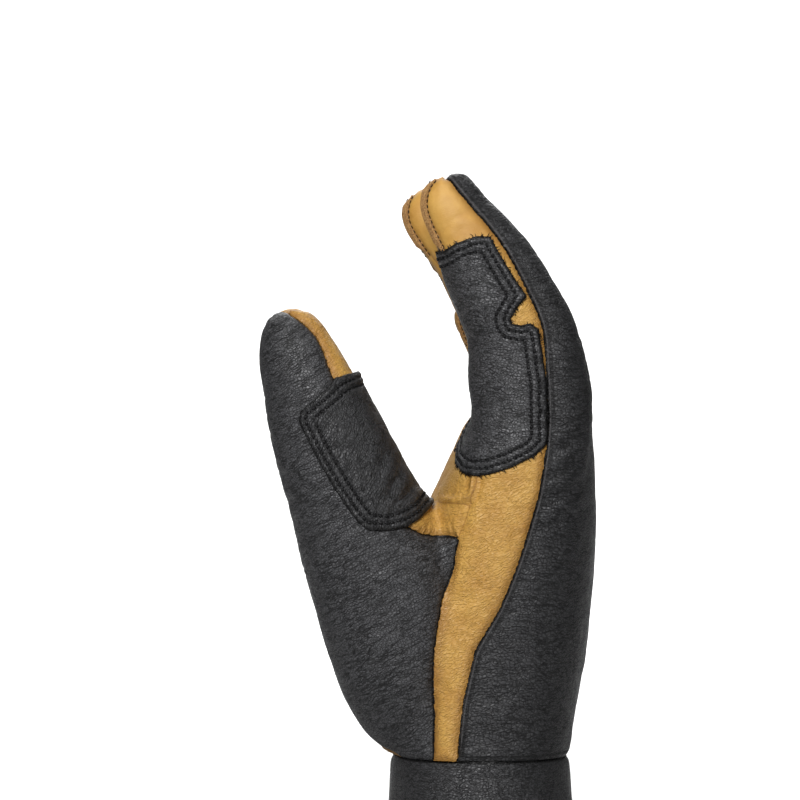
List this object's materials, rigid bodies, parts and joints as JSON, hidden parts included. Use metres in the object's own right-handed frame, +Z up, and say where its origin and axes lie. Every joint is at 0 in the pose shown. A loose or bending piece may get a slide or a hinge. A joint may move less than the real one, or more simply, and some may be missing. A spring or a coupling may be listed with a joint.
{
  "type": "ski glove",
  "caption": "Padded leather ski glove for a right hand, with curved fingers, sewn panels, patches on thumb and index finger, and an open cuff.",
  "frame": {"origin": "middle of the glove's box, on the surface that the cuff's hem stands on", "axes": "+Z up from the hem to the finger tips, +X out of the back of the hand, -Y towards the thumb side"},
  "size_m": [0.1084, 0.1036, 0.2616],
  "materials": {
    "black_leather": "soft grained black leather, satin",
    "tan_leather": "smooth fine-pored golden tan leather, satin",
    "raw_edge": "cut leather edge, matt"
  },
  "bodies": {
    "root": {"back_panel": "black_leather", "cuff": "black_leather", "thumb_panel": "black_leather", "index_patch": "black_leather", "thumb_patch": "black_leather", "index_back": "black_leather", "middle_back": "black_leather", "ring_back": "black_leather", "little_back": "black_leather", "palm_panel": "tan_leather", "index_side_panel": "tan_leather", "thumb_front_panel": "tan_leather", "fourchette_1": "tan_leather", "fourchette_2": "tan_leather", "fourchette_3": "tan_leather", "index_front": "tan_leather", "middle_front": "tan_leather", "ring_front": "tan_leather", "little_front": "tan_leather", "index_welt": "raw_edge", "middle_welt": "raw_edge", "ring_welt": "raw_edge", "little_welt": "raw_edge"}
  },
  "joints": []
}
